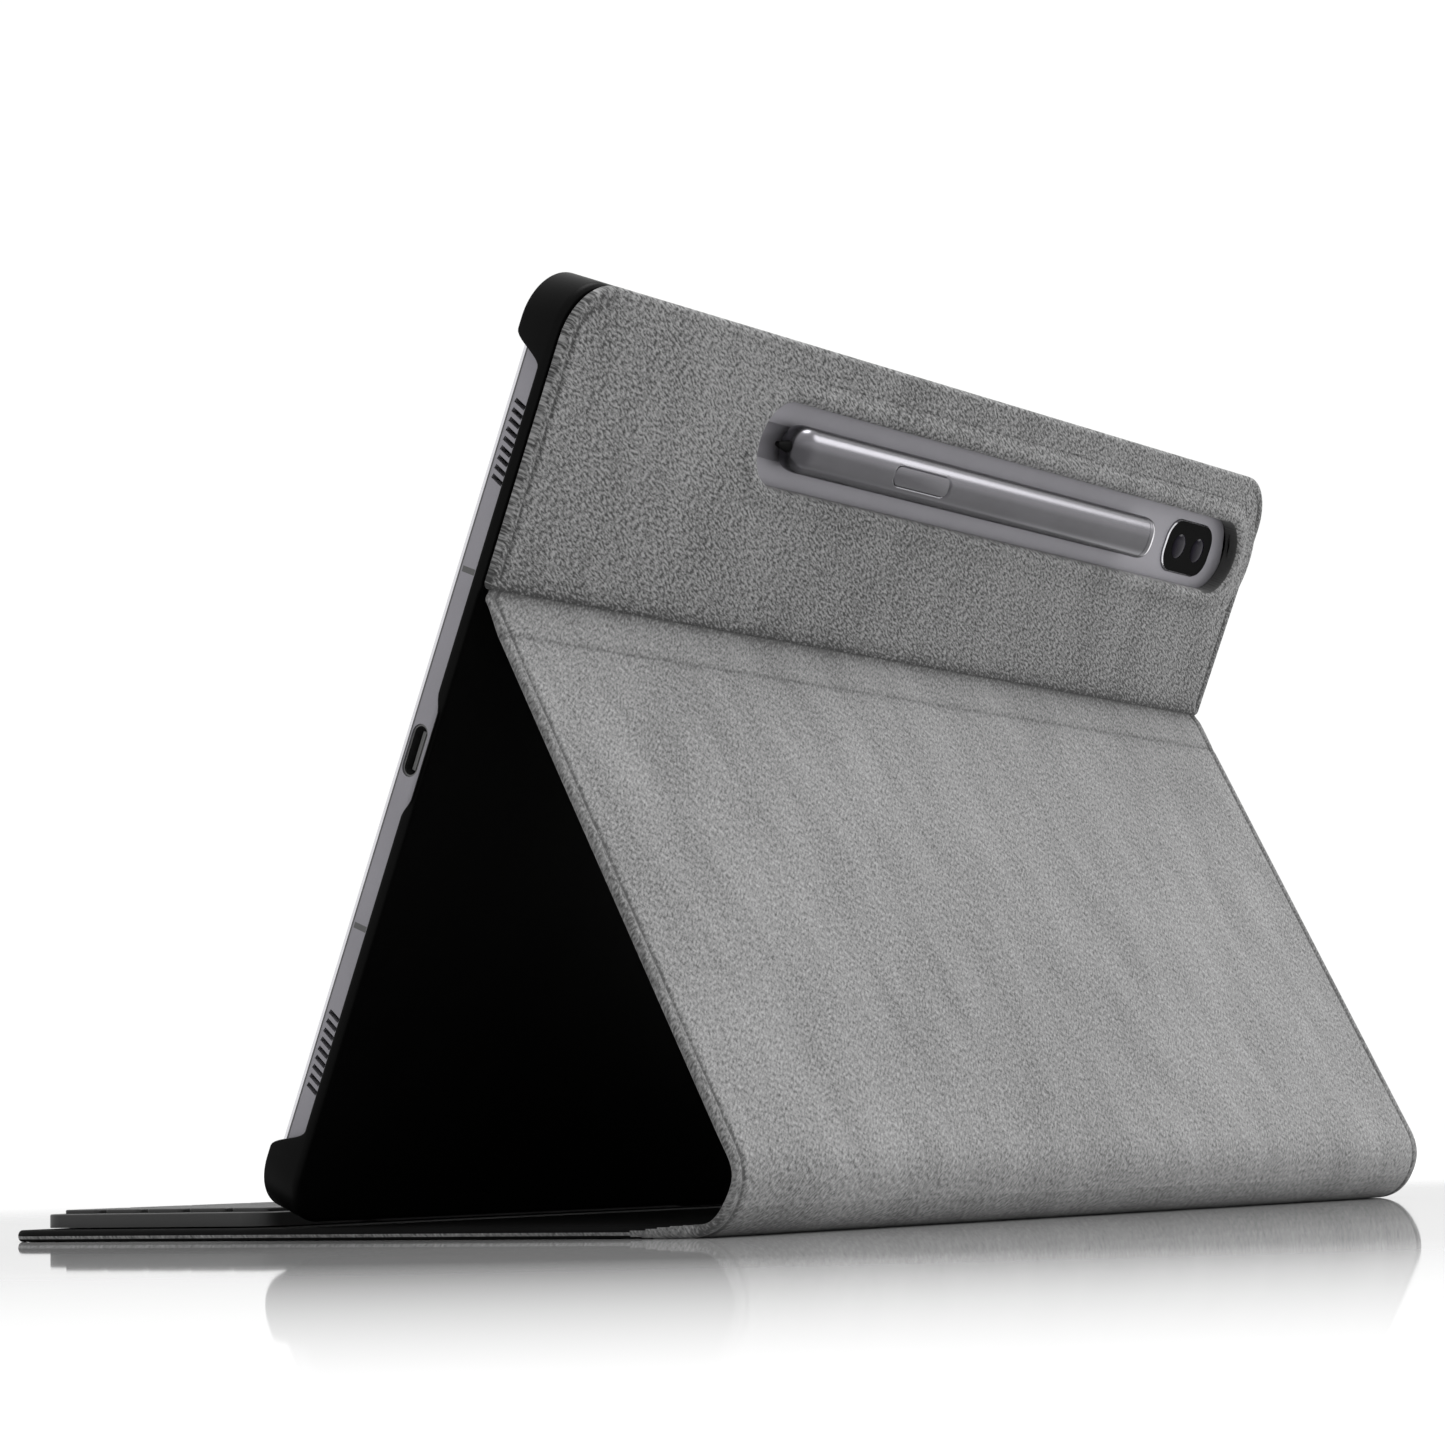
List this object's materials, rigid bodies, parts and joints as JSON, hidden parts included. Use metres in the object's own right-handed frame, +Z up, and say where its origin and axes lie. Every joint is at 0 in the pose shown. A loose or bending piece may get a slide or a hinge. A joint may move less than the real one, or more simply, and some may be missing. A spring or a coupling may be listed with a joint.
{
  "type": "tablet keyboard case",
  "caption": "Folio stand case for a tablet: suede-skinned folding panels, hard corner-grip shell with a pen window, slim keyboard on the front cover, with the tablet and pen in place.",
  "frame": {"origin": "on the table, at the centre of the standing case's footprint", "axes": "+X along the long side towards the charging port, +Y to the rear behind the screen, +Z up"},
  "size_m": [0.25, 0.156, 0.1554],
  "materials": {
    "suede": "grey brushed suede, fine short nap",
    "lining": "black microfibre",
    "board": "rigid sheet, raw",
    "magnet": "nickel plated",
    "shell_plastic": "black, satin, fine texture",
    "adhesive": "clear bonding film",
    "tablet_metal": "bead blasted, anodised grey",
    "front_glass": "black, polished",
    "display": "dark panel",
    "battery": "foil pouch",
    "circuit": "green laminate",
    "lens": "coated lens",
    "camera_black": "black glass",
    "mesh": "black speaker mesh",
    "antenna": "dark grey",
    "port_metal": "satin steel",
    "contact": "gold plated",
    "pen_metal": "satin grey lacquer over metal",
    "nib": "black",
    "keyboard_case": "dark grey, satin",
    "keycap": "black, fine texture",
    "dome": "bright",
    "foot_rubber": "black",
    "lamp": "translucent"
  },
  "bodies": {
    "front_cover": {"cover_outer_skin": "suede", "cover_board": "board", "cover_lining": "lining", "cover_closing_magnets": "magnet", "foot_magnets": "magnet", "keyboard_holding_plates": "magnet"},
    "spine": {"spine_outer_skin": "suede", "spine_stiffener": "board", "spine_lining": "lining", "spine_lower_crease": "suede", "spine_upper_crease": "suede"},
    "flap": {"flap_outer_skin": "suede", "flap_board": "board", "flap_lining": "lining", "fold_band_cloth": "lining", "flap_magnets": "magnet", "fold_crease": "suede"},
    "shell": {"back_shell": "shell_plastic", "corner_lips": "shell_plastic", "upper_panel_skin": "suede", "upper_panel_board": "board", "upper_panel_adhesive": "adhesive", "window_welt": "suede"},
    "tablet": {"tablet_housing": "tablet_metal", "tablet_glass": "front_glass", "tablet_display": "display", "tablet_batteries": "battery", "tablet_mainboard": "circuit", "camera_plate": "camera_black", "camera_lenses": "lens", "speaker_meshes": "mesh", "antenna_bands": "antenna", "charging_port": "port_metal", "dock_contacts": "contact"},
    "power_key": {"power_key": "tablet_metal"},
    "volume_key": {"volume_key": "tablet_metal"},
    "pen": {"pen_barrel": "pen_metal", "pen_end_cap": "pen_metal", "pen_nib": "nib"},
    "pen_button": {"pen_button": "pen_metal"},
    "keyboard": {"keyboard_bottom_case": "keyboard_case", "keyboard_deck": "keyboard_case", "keyboard_circuit": "circuit", "keyboard_switch_sheet": "display", "keyboard_snap_domes": "dome", "keyboard_battery": "battery", "keyboard_socket": "port_metal", "keyboard_status_lamps": "lamp", "keyboard_feet": "foot_rubber", "keyboard_magnets": "magnet"},
    "keyboard_power_slider": {"keyboard_power_slider": "keycap"},
    "number_row_keys": {"number_row_keys": "keycap"},
    "upper_row_keys": {"upper_row_keys": "keycap"},
    "home_row_keys": {"home_row_keys": "keycap"},
    "lower_row_keys": {"lower_row_keys": "keycap"},
    "modifier_keys": {"modifier_keys": "keycap"},
    "space_bar": {"space_bar": "keycap"}
  },
  "joints": [
    {"name": "screen_fold", "type": "hinge", "parent": "flap", "child": "shell", "pos_m": [0, 0.03125, 0.1031], "axis": [1, 0, 0], "range_deg": [0, 49.59]},
    {"name": "spine_turn", "type": "hinge", "parent": "front_cover", "child": "spine", "pos_m": [0, 0.072, 0.00025], "axis": [-1, 0, 0], "range_deg": [0, 52.44]},
    {"name": "flap_turn", "type": "hinge", "parent": "spine", "child": "flap", "pos_m": [0, 0.0778, 0.0105], "axis": [-1, 0, 0], "range_deg": [0, 63.12]},
    {"name": "tablet_lift_out", "type": "slide", "parent": "shell", "child": "tablet", "axis": [0, -0.9205, 0.3907], "range_m": [0, 0.012], "deforming": ["corner_lips"]},
    {"name": "pen_lift_off", "type": "slide", "parent": "tablet", "child": "pen", "axis": [0, 0.9205, -0.3907], "range_m": [0, 0.02]},
    {"name": "pen_button_press", "type": "slide", "parent": "pen", "child": "pen_button", "axis": [0, -0.9205, 0.3907], "range_m": [0, 0.00025], "stiffness_N_per_m": 400, "springref_m": -0.0005},
    {"name": "power_key_press", "type": "slide", "parent": "tablet", "child": "power_key", "axis": [0, -0.3907, -0.9205], "range_m": [0, 0.00025], "stiffness_N_per_m": 500, "springref_m": -0.0005},
    {"name": "volume_key_press", "type": "slide", "parent": "tablet", "child": "volume_key", "axis": [0, -0.3907, -0.9205], "range_m": [0, 0.00025], "stiffness_N_per_m": 500, "springref_m": -0.0005},
    {"name": "keyboard_lift_off", "type": "slide", "parent": "front_cover", "child": "keyboard", "axis": [0, 0, 1], "range_m": [0, 0.005]},
    {"name": "power_slider_move", "type": "slide", "parent": "keyboard", "child": "keyboard_power_slider", "axis": [1, 0, 0], "range_m": [0, 0.005]},
    {"name": "number_row_press", "type": "slide", "parent": "keyboard", "child": "number_row_keys", "axis": [0, 0, -1], "range_m": [0, 0.0007], "stiffness_N_per_m": 300, "springref_m": -0.0005},
    {"name": "upper_row_press", "type": "slide", "parent": "keyboard", "child": "upper_row_keys", "axis": [0, 0, -1], "range_m": [0, 0.0007], "stiffness_N_per_m": 300, "springref_m": -0.0005},
    {"name": "home_row_press", "type": "slide", "parent": "keyboard", "child": "home_row_keys", "axis": [0, 0, -1], "range_m": [0, 0.0007], "stiffness_N_per_m": 300, "springref_m": -0.0005},
    {"name": "lower_row_press", "type": "slide", "parent": "keyboard", "child": "lower_row_keys", "axis": [0, 0, -1], "range_m": [0, 0.0007], "stiffness_N_per_m": 300, "springref_m": -0.0005},
    {"name": "modifier_press", "type": "slide", "parent": "keyboard", "child": "modifier_keys", "axis": [0, 0, -1], "range_m": [0, 0.0007], "stiffness_N_per_m": 300, "springref_m": -0.0005},
    {"name": "space_bar_press", "type": "slide", "parent": "keyboard", "child": "space_bar", "axis": [0, 0, -1], "range_m": [0, 0.0007], "stiffness_N_per_m": 300, "springref_m": -0.0005}
  ],
  "couplings": [
    {"joint": "spine_turn", "follows": "screen_fold", "ratio": 1.0565},
    {"joint": "flap_turn", "follows": "screen_fold", "ratio": 1.2718}
  ]
}
